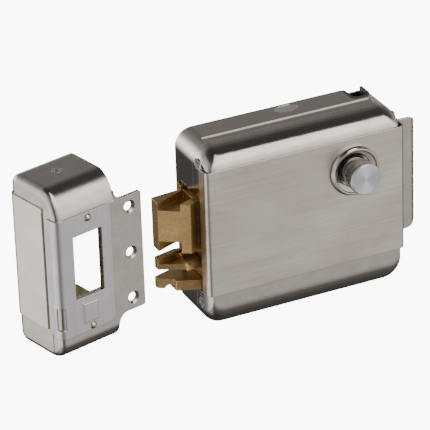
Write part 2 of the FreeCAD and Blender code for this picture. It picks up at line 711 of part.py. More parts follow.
def mechanism_plate():
    plate = box(-44, 48, MECH_PLATE_Y0, -REAR_WALL, -46, 46)
    rotor = rod(Y_AXIS, V(KNOB_X, -4, KNOB_Z), ROTOR_R + RUN, 4)
    screws = [rod(Y_AXIS, V(x, -4, SOL_Z), SOL_SCREW_R, 4) for x in solenoid_screw_places()]
    pivot = rod(Y_AXIS, V(PAWL_X, -4, PAWL_Z), PAWL_PIN_R, 4)
    return cut(plate, bracket_rivet_holes() + [rotor, pivot] + screws)


# ---------------------------------------------------------------- lock: solenoid and pawl
def solenoid_screw_places():
    return (SOL_X0 + SOL_SCREW_INSET, SOL_X1 - SOL_SCREW_INSET)


def solenoid_frame():
    """Folded steel yoke: floor, two end cheeks and a roof."""
    outer = box(SOL_X0, SOL_X1, SOL_Y - SOL_HALF, -4.0, SOL_Z - SOL_HALF, SOL_Z + SOL_HALF)
    hollow = box(SOL_X0 + SOL_FRAME_T, SOL_X1 - SOL_FRAME_T, SOL_Y - SOL_HALF - 1, -4.0 - SOL_FRAME_T,
                 SOL_Z - SOL_HALF - 1, SOL_Z + SOL_HALF + 1)
    bore = rod(X_AXIS, V(SOL_X0 - 1, SOL_Y, SOL_Z), PLUNGER_R + 0.3, 4)
    pole = rod(X_AXIS, V(SOL_X1 - 3, SOL_Y, SOL_Z), 2.5, 4)
    screws = [rod(Y_AXIS, V(x, -7, SOL_Z), SOL_SCREW_R, 4) for x in solenoid_screw_places()]
    foot = box(SOL_X0, SOL_X1, -4.0, -3.2, SOL_Z - SOL_HALF, SOL_Z + SOL_HALF)
    return cut(outer.fuse(foot).removeSplitter(), [hollow, bore, pole] + screws)


def solenoid_screws():
    return [fuse([rod(Y_AXIS, V(x, -5.5, SOL_Z), SOL_SCREW_R, 4.2),
                  rod(Y_AXIS, V(x, -6.9, SOL_Z), 2.6, 1.4)]) for x in solenoid_screw_places()]


def solenoid_bobbin():
    x0 = SOL_X0 + SOL_FRAME_T + 0.05
    length = SOL_X1 - SOL_X0 - 2 * SOL_FRAME_T - 0.1
    barrel = rod(X_AXIS, V(x0, SOL_Y, SOL_Z), 5.6, length)
    flanges = [rod(X_AXIS, V(x, SOL_Y, SOL_Z), COIL_R + 1.2, 1.2) for x in (x0, x0 + length - 1.2)]
    bobbin = fuse([barrel] + flanges)
    return bobbin.cut(rod(X_AXIS, V(x0 - 1, SOL_Y, SOL_Z), PLUNGER_R + 0.3, length + 2))


def solenoid_coil():
    x0 = SOL_X0 + SOL_FRAME_T + 1.25
    length = SOL_X1 - SOL_X0 - 2 * SOL_FRAME_T - 2.5
    return tube(X_AXIS, V(x0, SOL_Y, SOL_Z), COIL_R, 5.6, length)


def solenoid_pole():
    plug = rod(X_AXIS, V(SOL_X1 - 10, SOL_Y, SOL_Z), PLUNGER_R, 10 - SOL_FRAME_T)
    return plug.fuse(rod(X_AXIS, V(SOL_X1 - 2, SOL_Y, SOL_Z), 2.5, 3.5)).removeSplitter()


def plunger():
    body = rod(X_AXIS, V(PLUNGER_X0, SOL_Y, SOL_Z), PLUNGER_R, PLUNGER_LEN)
    flange = rod(X_AXIS, V(PLUNGER_FLANGE_X, SOL_Y, SOL_Z), 6.3, 1.2)
    return body.fuse(flange).removeSplitter().cut(rod(Y_AXIS, V(PAWL_X, -23, SOL_Z), 1.2, 20))


def plunger_pin():
    return rod(Y_AXIS, V(PAWL_X, -22.6, SOL_Z), 1.2, 13.2)


def plunger_spring():
    start = PLUNGER_FLANGE_X + 1.2
    return helix_spring(V(start, SOL_Y, SOL_Z), X_AXIS, SOL_X0 - start, 5.0, 0.35, 4)


def pawl():
    """Two-armed lever: the upper tooth faces the latch tail, the slotted lower arm rides on the
    plunger's pin."""
    y0 = TAIL_Y0
    outline = [(-2.2, 4.0), (-3.0, 10.5), (-2.2, 13.3), (2.2, 13.3), (3.0, 4.0), (4.6, 0.0),
               (3.6, -22.0), (3.6, -30.5), (-3.6, -30.5), (-3.6, -22.0), (-4.6, 0.0)]
    points = [V(PAWL_X + dx, y0, PAWL_Z + dz) for dx, dz in outline]
    lever = prism(points, V(0, PAWL_T, 0))
    reach = PAWL_Z - SOL_Z
    slot = fuse([box(PAWL_X - 1.6, PAWL_X + 1.6, y0 - 1, y0 + PAWL_T + 1,
                     PAWL_Z - reach - 1.0, PAWL_Z - reach + 0.6),
                 rod(Y_AXIS, V(PAWL_X, y0 - 1, PAWL_Z - reach - 1.0), 1.6, PAWL_T + 2),
                 rod(Y_AXIS, V(PAWL_X, y0 - 1, PAWL_Z - reach + 0.6), 1.6, PAWL_T + 2)])
    return cut(lever, [slot, rod(Y_AXIS, V(PAWL_X, y0 - 1, PAWL_Z), PAWL_PIN_R + RUN, PAWL_T + 2)])


def pawl_pivot():
    pin = rod(Y_AXIS, V(PAWL_X, -15.6, PAWL_Z), PAWL_PIN_R, 14.4)
    head = rod(Y_AXIS, V(PAWL_X, -15.6, PAWL_Z), 3.2, 1.4)
    collar = rod(Y_AXIS, V(PAWL_X, -9.8, PAWL_Z), 3.4, 6.6)
    return fuse([pin, head, collar])


def terminal_block():
    block = box(33, 47, -14, -3.2, 38, 46)
    wells = [rod(Z_AXIS, V(x, -9, 42), 1.9, 5) for x in (36.5, 43.5)]
    entries = [box(x - 1.5, x + 1.5, -15, -9, 39.5, 41.5) for x in (36.5, 43.5)]
    return cut(block, wells + entries)


def terminal_screws():
    return [rod(Z_AXIS, V(x, -9, 42), 1.8, 2.4).cut(box(x - 2, x + 2, -9.4, -8.6, 43.8, 45))
            for x in (36.5, 43.5)]


# ---------------------------------------------------------------- lock: knob and key rotor
def revolve_y(profile, x, z):
    """Solid of revolution about a Y-parallel axis; profile is (radius, y) points."""
    face = Part.Face(polygon_wire([V(radius, y, 0) for radius, y in profile]))
    solid = face.revolve(V(0, 0, 0), Y_AXIS, 360)
    solid.translate(V(x, 0, z))
    return solid


def rosette():
    """Stepped ring on the front plate; its recess takes the knob when it is pressed."""
    base = -CASE_D - PLATE_T
    hub = BUSH_R + 0.1
    floor = base - ROSETTE_FLOOR
    return revolve_y([(hub, base), (ROSETTE_R, base), (ROSETTE_R, base - 1.2),
                      (ROSETTE_R - 0.5, base - 2.2), (ROSETTE_R - 1.2, base - ROSETTE_H),
                      (ROSETTE_R - 2.0, base - ROSETTE_H), (ROSETTE_R - 2.6, base - 2.5),
                      (KNOB_R + 0.5, base - 2.1), (KNOB_R + 0.4, floor), (hub, floor)],
                     KNOB_X, KNOB_Z)


def knob_bushing():
    base = -CASE_D - PLATE_T
    seat = base - ROSETTE_FLOOR
    rim_r = BUSH_R + 0.9
    return revolve_y([(SPINDLE_R + RUN, -31.0), (BUSH_R, -31.0), (BUSH_R, seat), (rim_r, seat),
                      (rim_r, seat - BUSH_RIM_H), (SPINDLE_R + RUN, seat - BUSH_RIM_H)],
                     KNOB_X, KNOB_Z)


def bushing_nut():
    y0 = -CASE_D + COVER_WALL
    flats = [V(KNOB_X + 10.0 * math.cos(math.radians(60 * i)), y0,
               KNOB_Z + 10.0 * math.sin(math.radians(60 * i))) for i in range(6)]
    return prism(flats, V(0, 3.0, 0)).cut(rod(Y_AXIS, V(KNOB_X, y0 - 1, KNOB_Z), BUSH_R, 6))


def knob_spindle():
    return rod(Y_AXIS, V(KNOB_X, -47.2, KNOB_Z), SPINDLE_R, 35.0)


def lever_arm(y0, hub_r):
    """Arm with a round nose that leans towards the bolts, round the knob's axis."""
    hub = rod(Y_AXIS, V(KNOB_X, y0, KNOB_Z), hub_r, ARM_T)
    arm = box(KNOB_X - 2.0, KNOB_X + 2.0, y0, y0 + ARM_T, KNOB_Z - ARM_LEN, KNOB_Z)
    nose = rod(Y_AXIS, V(KNOB_X, y0, KNOB_Z - ARM_LEN), ARM_NOSE_R, ARM_T)
    lever = fuse([hub, arm, nose])
    lever.rotate(V(KNOB_X, 0, KNOB_Z), Y_AXIS, ARM_REST)
    return lever


def spindle_cam():
    """Lever fixed on the inner end of the knob's spindle."""
    hub = rod(Y_AXIS, V(KNOB_X, CAM_Y0 - 4, KNOB_Z), 5.5, 7.0)
    return fuse([hub, lever_arm(CAM_Y0, 5.5)]).cut(
        rod(Y_AXIS, V(KNOB_X, CAM_Y0 - 6, KNOB_Z), SPINDLE_R, 14))


def knob_barrel():
    """Knurled barrel, hollow at the rear for its spring, with a small set-screw hole."""
    root = KNOB_R - KNURL_DEPTH
    teeth = []
    for index in range(KNURL_TEETH):
        for part, radius in ((0.0, KNOB_R), (0.45, KNOB_R), (0.6, root), (0.85, root)):
            angle = 2 * math.pi * (index + part) / KNURL_TEETH
            teeth.append(V(KNOB_X + radius * math.cos(angle), BARREL_FRONT_Y,
                           KNOB_Z + radius * math.sin(angle)))
    body = prism(teeth, V(0, KNOB_REAR_Y - BARREL_FRONT_Y, 0))
    cavity = tube(Y_AXIS, V(KNOB_X, BARREL_FRONT_Y + KNOB_FACE_T, KNOB_Z), 7.6, 4.5, 6)
    bore = rod(Y_AXIS, V(KNOB_X, BARREL_FRONT_Y - 1, KNOB_Z), SPINDLE_R + RUN, 12)
    hub_end = rod(Y_AXIS, V(KNOB_X, KNOB_REAR_Y - 0.4, KNOB_Z), 4.6, 2)
    side_hole = rod(X_AXIS, V(KNOB_X - KNOB_R - 1, KNOB_REAR_Y - 1.6, KNOB_Z), 0.9, 3)
    side_hole.rotate(V(KNOB_X, 0, KNOB_Z), Y_AXIS, 10)
    return cut(body, [cavity, bore, hub_end, side_hole])


def knob_cap():
    return revolve_y([(0, BARREL_FRONT_Y), (7.8, BARREL_FRONT_Y), (7.8, BARREL_FRONT_Y - 0.7),
                      (KNOB_R - 0.2, BARREL_FRONT_Y - 0.9), (KNOB_R, BARREL_FRONT_Y - 1.3),
                      (KNOB_R, CAP_FRONT_Y + 0.6), (KNOB_R - 0.5, CAP_FRONT_Y), (0, CAP_FRONT_Y)],
                     KNOB_X, KNOB_Z)


def knob_spring():
    front = BARREL_FRONT_Y + KNOB_FACE_T
    seat = -CASE_D - PLATE_T - ROSETTE_FLOOR - BUSH_RIM_H
    return helix_spring(V(KNOB_X, front, KNOB_Z), Y_AXIS, seat - front, 6.0, 0.4, 3)


def tail_slot(y0, y1):
    """Slot for the flat tail of the outside cylinder."""
    return box(KNOB_X - TAIL_SLOT_HALF_W, KNOB_X + TAIL_SLOT_HALF_W, y0, y1,
               KNOB_Z - TAIL_SLOT_HALF_LEN, KNOB_Z + TAIL_SLOT_HALF_LEN)


def key_rotor():
    """Rotor in the back wall that takes the tail of the outside cylinder."""
    return rod(Y_AXIS, V(KNOB_X, ROTOR_Y0, KNOB_Z), ROTOR_R, -ROTOR_Y0).cut(tail_slot(ROTOR_Y0 - 1, 1))


def rotor_arm():
    arm_rear = ROTOR_ARM_Y0 + ARM_T
    collar = rod(Y_AXIS, V(KNOB_X, arm_rear, KNOB_Z), 7.0, ROTOR_Y0 - arm_rear)
    return fuse([lever_arm(ROTOR_ARM_Y0, 9.6), collar]).cut(tail_slot(ROTOR_ARM_Y0 - 1, 0))


# ---------------------------------------------------------------- strike
def box_solid(inset, x1):
    """Strike's box, shrunk by inset: rounded front top and bottom, soft edges on the cover side."""
    front_depth = FRONT_ROUND - inset
    profile = round_profile(inset, inset, BOX_D - inset, inset, BOX_H - inset,
                            (front_depth, BOTTOM_ROUND_H - inset), (front_depth, TOP_ROUND_H - inset),
                            FAR_ROUND - inset)
    block = Part.Face(profile).extrude(V(x1 - inset, 0, 0))
    side = [edge for edge in block.Edges
            if all(abs(vertex.X - inset) < 0.01 for vertex in edge.Vertexes)]
    return block.makeFillet(BOX_CORNER - inset, side)


def mouth():
    return box(MOUTH_X0, MOUTH_X1, -5, 8, MOUTH_Z0, MOUTH_Z1)


def strike_hole_heights():
    return [STRIKE_HOLE_Z + step * STRIKE_HOLE_STEP for step in (-1, 0, 1)]


def strike_flange():
    """Fixing flange in the plane of the mouth, with hollow fillets where it meets the box."""
    tip_r = 1.0
    plate = box(BOX_W - 2, FLANGE_X1, 0, FLANGE_T, FLANGE_Z0, FLANGE_Z1)
    webs = []
    tips = []
    for z, outward in ((FLANGE_Z0, -1), (FLANGE_Z1, 1)):
        webs.append(corner_piece(BOX_W, z, 1, outward, FLANGE_FILLET, 0, FLANGE_T))
        tips.append(corner_piece(FLANGE_X1, z, -1, -outward, tip_r, -1, FLANGE_T + 1, 1))
    sinks = [screw_hole(V(STRIKE_HOLE_X, 0, z), Y_AXIS, STRIKE_SINK_R, STRIKE_HOLE_R, 4)
             for z in strike_hole_heights()]
    return cut(fuse([plate] + webs), tips + sinks)


def rivet_holes():
    return [rod(Y_AXIS, V(RIVET_X, -2, z), RIVET_R, 5) for z in RIVET_Z]


def strike_case():
    shell = box_solid(0, BOX_W).cut(box_solid(BOX_WALL, BOX_W + 3))
    shell = shell.fuse(strike_flange())
    screws = [screw_hole(at, way, SCREW_HEAD_R, CAP_SCREW_R + 0.1, 8) for at, way in cap_screw_places()]
    seam = box(-1, BOX_CORNER, CAP_SEAM_Y, CAP_SEAM_Y + CAP_SEAM_W, -1, COVER_Z0 - 1)
    return cut(shell, [mouth(), seam] + rivet_holes() + screws).removeSplitter()


def cap_screw_places():
    """Head centre and inward direction of the screws in the strike's top and bottom."""
    return [(V(CAP_SCREW_X, CAP_SCREW_Y, BOX_H), V(0, 0, -1)), (V(CAP_SCREW_X, CAP_SCREW_Y, 0), Z_AXIS)]


def cap_screws():
    lengths = (BOX_H - KEEPER_ROOF_Z + 2, KEEPER_FLOOR_Z + 2)
    return [cross_screw(at, way, SCREW_HEAD_R - SHEET_GAP, CAP_SCREW_R, length)
            for (at, way), length in zip(cap_screw_places(), lengths)]


def strike_keeper():
    """Folded inner plate: a web behind the mouth with a floor and a roof."""
    x0 = 5.5
    x1 = BOX_W - 0.2
    y0 = BOX_WALL + SHEET_GAP
    rear = BOX_D - 2.5
    web = box(x0, BOX_W - 2.3, y0, y0 + KEEPER_T, LINER_Z0 + 0.5, KEEPER_ROOF_Z + KEEPER_T)
    floor = box(x0, x1, FLANGE_T + 0.1, rear, KEEPER_FLOOR_Z - KEEPER_T, KEEPER_FLOOR_Z)
    roof = box(x0, x1, FLANGE_T + 0.1, rear, KEEPER_ROOF_Z, KEEPER_ROOF_Z + KEEPER_T)
    screws = [rod(Z_AXIS, V(CAP_SCREW_X, CAP_SCREW_Y, z), CAP_SCREW_R, 6)
              for z in (KEEPER_FLOOR_Z - 3, KEEPER_ROOF_Z - 2)]
    return cut(fuse([web, floor, roof]), [mouth()] + rivet_holes() + screws)


def strike_liner():
    """Thin wear plate round the mouth, folded over the cover-side corner."""
    sheet = bent_sheet([(LINER_X1, -FIT_GAP), (-FIT_GAP, -FIT_GAP), (-FIT_GAP, LINER_LIP)],
                       [BOX_CORNER + FIT_GAP], LINER_T, LINER_Z0, LINER_Z1)
    corners = [corner_piece(LINER_X1, z, -1, way, LINER_ROUND, -2, 1, 1)
               for z, way in ((LINER_Z0, 1), (LINER_Z1, -1))]
    edge_y = LINER_LIP + 1
    tapers = [prism([V(-2, edge_y, z), V(-2, edge_y, z + rise), V(-2, edge_y - run, z)], V(1.99, 0, 0))
              for z, rise, run in ((LINER_Z0 - 1, 6.0, 6.0), (LINER_Z1 + 1, -3.5, 4.0))]
    recess = box(-2, BEND_RECESS, -2, BEND_RECESS, BEND_RECESS_Z0, BEND_RECESS_Z1)
    pad = box(PAD_X0, PAD_X1, LINER_FACE_Y - PAD_RISE, LINER_FACE_Y, PAD_Z0, PAD_Z1)
    pad = pad.makeFillet(PAD_RISE - 0.1, [edge for edge in pad.Edges
                                          if max(v.Y for v in edge.Vertexes) < LINER_FACE_Y - 0.5])
    return cut(sheet.fuse(pad).removeSplitter(), corners + tapers + [recess, mouth()] + rivet_holes())


def strike_rivets():
    sunk = 0.8
    rivets = []
    for z in RIVET_Z:
        length = BOX_WALL + SHEET_GAP + KEEPER_T - LINER_FACE_Y
        shank = rod(Y_AXIS, V(RIVET_X, LINER_FACE_Y, z), RIVET_R, length)
        dome = Part.makeSphere(RIVET_DOME_R, V(RIVET_X, LINER_FACE_Y + sunk, z))
        dome = dome.common(box(RIVET_X - 4, RIVET_X + 4, -5, LINER_FACE_Y, z - 4, z + 4))
        rivets.append(shank.fuse(dome).removeSplitter())
    return rivets


def strike_cover():
    """Brushed cover plate on the side that faces the room, folded over the far corner."""
    far = BOX_D + FIT_GAP
    return bent_sheet([(-FIT_GAP, COVER_Y0), (-FIT_GAP, far), (COVER_RETURN, far)],
                      [BOX_CORNER + FIT_GAP], PLATE_T, COVER_Z0, COVER_Z1)


# ---------------------------------------------------------------- output
def place_strike(shape):
    shape = shape.copy()
    shape.rotate(V(0, 0, 0), Z_AXIS, STRIKE_TURN)
    shape.translate(V(STRIKE_X, STRIKE_Y, -HALF_H))
    return shape


def grouped(shapes):
    return Part.makeCompound(shapes)


LOCK_NODES = {
    "rear_case": rear_case,
    "front_cover": front_cover,
    "brushed_front_plate": brushed_plate,
    "cover_screws": lambda: grouped(cover_screws()),
    "mechanism_plate": mechanism_plate,
    "bolt_guide": bolt_guide,
    "spring_bracket": spring_bracket,
    "bracket_rivets": lambda: grouped(bracket_rivets()),
    "latch_spring_rod": latch_spring_rod,
    "solenoid_frame": solenoid_frame,
    "solenoid_screws": lambda: grouped(solenoid_screws()),
    "solenoid_bobbin": solenoid_bobbin,
    "solenoid_coil": solenoid_coil,
    "solenoid_pole": solenoid_pole,
    "pawl_pivot": pawl_pivot,
    "terminal_block": terminal_block,
    "terminal_screws": lambda: grouped(terminal_screws()),
    "cable_grommet": cable_grommet,
    "finger_pull": finger_pull,
    "pull_rivets": lambda: grouped(pull_rivets()),
    "rosette": rosette,
    "knob_bushing": knob_bushing,
    "bushing_nut": bushing_nut,
    "latch_bolt": latch_bolt,
    "latch_tail": latch_tail,
    "latch_pins": lambda: grouped(latch_pins()),
    "latch_spring": latch_spring,
    "trigger_tongue": trigger_tongue,
    "trigger_rod": lambda: tongue_rod(TRIGGER_ROD_Z),
    "trigger_clip": lambda: rod_clip(TRIGGER_ROD_Z),
    "trigger_spring": lambda: tongue_spring(TRIGGER_ROD_Z),
    "cocking_tongue": cocking_tongue,
    "cocking_rod": lambda: tongue_rod(COCKING_ROD_Z),
    "cocking_clip": lambda: rod_clip(COCKING_ROD_Z),
    "cocking_spring": lambda: tongue_spring(COCKING_ROD_Z),
    "plunger": plunger,
    "plunger_pin": plunger_pin,
    "plunger_spring": plunger_spring,
    "pawl": pawl,
    "knob_spindle": knob_spindle,
    "spindle_cam": spindle_cam,
    "knob_barrel": knob_barrel,
    "knob_cap": knob_cap,
    "knob_spring": knob_spring,
    "key_rotor": key_rotor,
    "rotor_arm": rotor_arm,
}

STRIKE_NODES = {
    "strike_case": strike_case,
    "strike_cover_plate": strike_cover,
    "strike_liner": strike_liner,
    "strike_keeper": strike_keeper,
    "strike_rivets": lambda: grouped(strike_rivets()),
    "strike_cap_screws": lambda: grouped(cap_screws()),
}


def main():
    os.makedirs("parts", exist_ok=True)
    for name, make in LOCK_NODES.items():
        make().exportStep("parts/%s.step" % name)
    for name, make in STRIKE_NODES.items():
        place_strike(make()).exportStep("parts/%s.step" % name)


main()
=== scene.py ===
import json
import math

import bmesh
import bpy
from mathutils import Matrix, Vector

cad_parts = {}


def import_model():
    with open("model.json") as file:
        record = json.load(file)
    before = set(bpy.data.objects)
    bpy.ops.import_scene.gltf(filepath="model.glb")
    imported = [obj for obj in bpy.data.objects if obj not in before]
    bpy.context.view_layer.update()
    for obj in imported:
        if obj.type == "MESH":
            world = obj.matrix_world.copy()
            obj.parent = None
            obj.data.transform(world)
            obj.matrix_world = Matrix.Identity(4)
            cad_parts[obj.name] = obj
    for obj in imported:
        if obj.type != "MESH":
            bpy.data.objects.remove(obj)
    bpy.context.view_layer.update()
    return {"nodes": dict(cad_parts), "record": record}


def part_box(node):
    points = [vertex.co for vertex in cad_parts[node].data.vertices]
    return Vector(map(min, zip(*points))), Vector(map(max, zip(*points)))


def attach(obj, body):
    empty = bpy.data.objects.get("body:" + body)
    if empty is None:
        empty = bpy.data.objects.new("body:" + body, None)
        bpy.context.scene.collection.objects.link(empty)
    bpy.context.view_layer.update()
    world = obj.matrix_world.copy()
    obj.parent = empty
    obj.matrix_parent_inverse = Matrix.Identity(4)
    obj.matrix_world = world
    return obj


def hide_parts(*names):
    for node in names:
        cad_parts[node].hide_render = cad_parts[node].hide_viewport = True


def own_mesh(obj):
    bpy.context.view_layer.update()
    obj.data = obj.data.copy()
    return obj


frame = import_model()

# Every length is in metres.

# Places of the colour sockets on a Mix node, whose sockets share their names
MIX_FACTOR, MIX_A, MIX_B, MIX_RESULT = 0, 6, 7, 2

# Surface detail
EDGE_SOFTNESS = 0.00035          # a sharp edge looks rounded over this length
EDGE_SAMPLES = 6
EDGE_RUBBED = (0.80, 0.995)      # cosine between rounded and flat normals, fully rubbed to untouched
WEAR_LEAST = 0.35                # share of wear left in the least rubbed places
STREAK_DETAIL = 4.0
STREAK_ROUGHNESS = 0.62
STREAK_RELIEF = 0.00006
CLOUD_STRETCH = (1.0, 1.0, 2.2)
CLOUD_DETAIL = 3.0
CLOUD_ROUGHNESS = 0.5
CLOUD_DISTORTION = 0.6
CLOUD_SIZE = 28.0                # number of clouds to a metre
CLOUD_SHARE = 0.45               # share of the tone that the clouds make
PLATE_CLOUD_SIZE = 16.0
PLATE_CLOUD_SHARE = 0.6
CASE_CLOUD_SHARE = 0.5
TONE_RANGE = (0.34, 0.66)        # tones that turn into the darkest and lightest colour
GRAIN_DETAIL = 4.0
GRAIN_RELIEF = 0.00008
GRAIN_STRENGTH = 0.25

# How often a texture repeats along X, Y and Z: low along the streaks, high across them
UNIFORM = (1.0, 1.0, 1.0)
EVEN = (160.0, 160.0, 160.0)
ALONG_X = (9.0, 900.0, 1100.0)
ALONG_Y = (900.0, 11.0, 1100.0)
ALONG_Z = (900.0, 900.0, 14.0)
WOUND = (4000.0, 30.0, 30.0)

# Colours used more than once
NICKEL_DARK = (0.45, 0.395, 0.35)
NICKEL_LIGHT = (0.55, 0.49, 0.44)
PALE_NICKEL = (0.80, 0.76, 0.71)

# Blank oval on the case's top, from the middle of its rear edge
BADGE_X = 0.005
BADGE_Y = -0.0056
BADGE_HALF_LEN = 0.0070
BADGE_HALF_W = 0.0042
BADGE_RIM = (0.97, 1.0)
BADGE_DARK = (0.62, 0.60, 0.57)
BADGE_LIGHT = (0.80, 0.78, 0.75)
BADGE_EXTRA_ROUGH = 0.30
CASE_ROUGH = (0.17, 0.10)
CASE_RELIEF = 0.02

# Turned end of the knob
TURNED_DARK = (0.52, 0.53, 0.56)
TURNED_LIGHT = (0.68, 0.69, 0.73)
TURNED_RINGS = 900.0
TURNED_WOBBLE = 0.6
TURNED_WOBBLE_DETAIL = 2.0
TURNED_RELIEF = 0.00004
TURNED_STRENGTH = 0.12
TURNED_ROUGH = (0.30, 0.42)
TURNED_FAN = 0.9
QUARTER_TURN = 0.25

# Finger pull
PULL_T = 0.0013
PULL_NEAR_BEND = 0.0030
PULL_FAR_BEND = 0.0045
PULL_TOP_ROUND = 0.0090
PULL_LOW_ROUND = 0.0110
PULL_BEND_STEPS = 14
PULL_EDGE = 0.0004
PULL_EDGE_STEPS = 3
PULL_SHARP = math.radians(40)
PULL_EDGE_ANGLE = math.radians(50)

# Springs: node, moving body, joint that presses it and its direction
SPRINGS = (("latch_spring", "latch", "latch_slide", (1, 0, 0)),
           ("trigger_spring", "trigger", "trigger_slide", (1, 0, 0)),
           ("cocking_spring", "cocking", "cocking_slide", (1, 0, 0)),
           ("plunger_spring", "plunger", "plunger_slide", (1, 0, 0)),
           ("knob_spring", "knob", "knob_press", (0, 1, 0)))

# Floor
FLOOR_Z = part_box("rear_case")[0].z
FLOOR_GAP = 0.0003
FLOOR_HALF = 12.0
FLOOR_GLOW = 9.0
FLOOR_DARK = (0.88, 0.88, 0.88)
FLOOR_LIGHT = (0.92, 0.92, 0.92)
FLOOR_ROUGH = (0.7, 0.8)
FLOOR_MOTTLE = 6.0

# Studio: light of the room, of the backdrop that the camera sees, and of the reflected cards
ROOM_LIGHT = 1.0
BACKDROP_LIGHT = 9.0
WHITE = (1.0, 1.0, 1.0)

# Brightness of the studio's walls and cards: for each height above the horizon in degrees, pairs of
# (heading in degrees from +X, brightness).  -90 is the room in front of the lock.
STUDIO_BRIGHTEST = 4.0
STUDIO = [
    (-80, [(-180, 0.07), (180, 0.07)]),
    (-52, [(-180, 0.70), (-126, 0.16), (-80, 0.20), (-55, 0.18), (0, 0.14), (60, 0.06), (120, 0.06),
           (180, 0.70)]),
    (-27, [(-180, 1.8), (-150, 1.5), (-126, 0.10), (-105, 0.30), (-85, 0.82), (-65, 0.78), (-36, 0.85),
           (-8, 0.40), (25, 0.08), (115, 0.08), (130, 0.40), (144, 1.8), (180, 1.8)]),
    (4, [(-180, 1.5), (-126, 0.15), (-95, 0.9), (-65, 2.0), (-38, 2.2), (0, 0.7), (40, 0.4), (90, 0.8),
         (126, 3.2), (150, 1.5), (180, 1.5)]),
    (34, [(-180, 0.9), (-126, 0.3), (-88, 2.8), (-60, 3.2), (-38, 2.8), (-26, 0.5), (-15, 0.12),
          (65, 0.20), (126, 0.5), (180, 0.9)]),
    (58, [(-180, 0.10), (-112, 0.10), (-88, 2.8), (-42, 3.0), (-28, 0.08), (60, 0.08), (180, 0.10)]),
    (74, [(-180, 0.06), (-100, 0.06), (-85, 1.6), (-45, 1.6), (-28, 0.06), (180, 0.06)]),
    (86, [(-180, 0.04), (180, 0.04)]),
]

SOFTBOX_PLACE = Vector((-0.3, -0.5, 1.2))
SOFTBOX_SIZE = 0.8
SOFTBOX_POWER = 4.0

CAMERA_PLACE = Vector((-0.68605, -1.39843, 0.79856))
CAMERA_RIGHT = Vector((0.89956868, -0.43565621, -0.03130254))
CAMERA_UP = Vector((0.22637821, 0.40374853, 0.88641978))
CAMERA_AHEAD = Vector((0.37353593, 0.80448169, -0.4618226))
CAMERA_LENS = 267.9
CAMERA_SENSOR = 36.0


# ---------------------------------------------------------------- node helpers
class Graph:
    """Thin helper for building node trees."""

    def __init__(self, tree):
        self.tree = tree

    def add(self, kind, **values):
        node = self.tree.nodes.new(kind)
        for key, value in values.items():
            if key in node.inputs:
                node.inputs[key].default_value = value
            else:
                setattr(node, key, value)
        return node

    def link(self, source, target):
        self.tree.links.new(source, target)

    def math(self, operation, first, second=None):
        node = self.add("ShaderNodeMath", operation=operation)
        for socket, value in zip(node.inputs, (first, second)):
            if isinstance(value, (int, float)):
                socket.default_value = value
            elif value is not None:
                self.link(value, socket)
        return node.outputs[0]

    def remap(self, factor, low, high, start=0.3, end=0.7, kind="LINEAR"):
        node = self.add("ShaderNodeMapRange", interpolation_type=kind)
        node.inputs["From Min"].default_value = start
        node.inputs["From Max"].default_value = end
        node.inputs["To Min"].default_value = low
        node.inputs["To Max"].default_value = high
        self.link(factor, node.inputs["Value"])
        return node.outputs["Result"]

    def blend(self, factor, first, second):
        node = self.add("ShaderNodeMix", data_type="RGBA")
        self.link(factor, node.inputs[MIX_FACTOR])
        for socket, value in ((node.inputs[MIX_A], first), (node.inputs[MIX_B], second)):
            if isinstance(value, tuple):
                socket.default_value = (*value, 1.0)
            else:
                self.link(value, socket)
        return node.outputs[MIX_RESULT]


